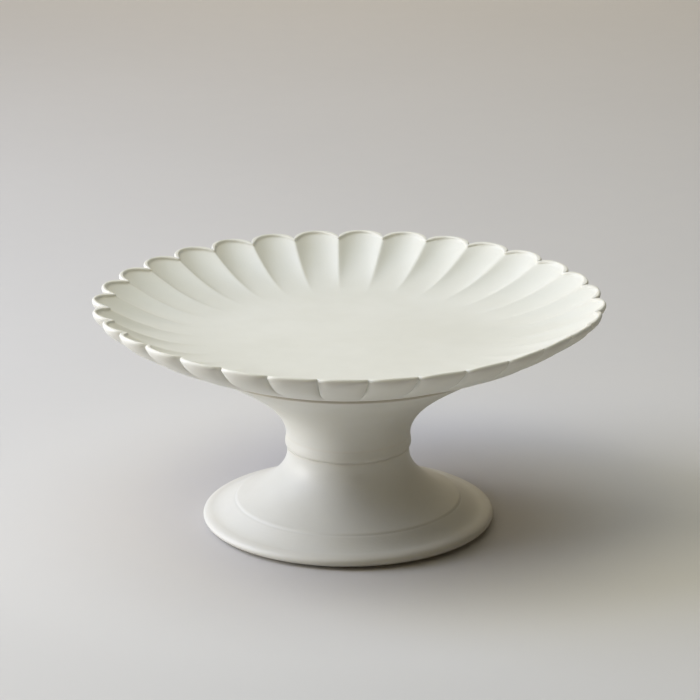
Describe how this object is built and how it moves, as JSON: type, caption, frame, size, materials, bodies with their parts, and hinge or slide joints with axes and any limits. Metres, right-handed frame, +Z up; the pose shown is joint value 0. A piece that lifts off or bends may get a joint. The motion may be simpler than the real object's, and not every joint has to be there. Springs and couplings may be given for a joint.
{
  "type": "footed petal dish",
  "caption": "Footed cake stand in matt off-white glazed ceramic: a shallow fluted dish with a scalloped rim on a hollow spreading pedestal with a beaded waist.",
  "frame": {"origin": "on the table, under the middle of the foot ring", "axes": "+Z up along the axis of the pedestal; +X and +Y are level and the petals repeat around +Z"},
  "size_m": [0.2034, 0.2034, 0.093],
  "materials": {
    "dish_glaze": "matt",
    "pedestal_glaze": "matt",
    "bead_glaze": "matt",
    "foot_glaze": "matt",
    "joint_slip": "matt",
    "joint_coil": "matt"
  },
  "bodies": {
    "root": {"petal_dish": "dish_glaze", "dish_joint_slip": "joint_slip", "dish_joint_coil": "joint_coil", "pedestal_neck": "pedestal_glaze", "waist_bead": "bead_glaze", "waist_joint_slip": "joint_slip", "pedestal_foot": "foot_glaze"}
  },
  "joints": []
}
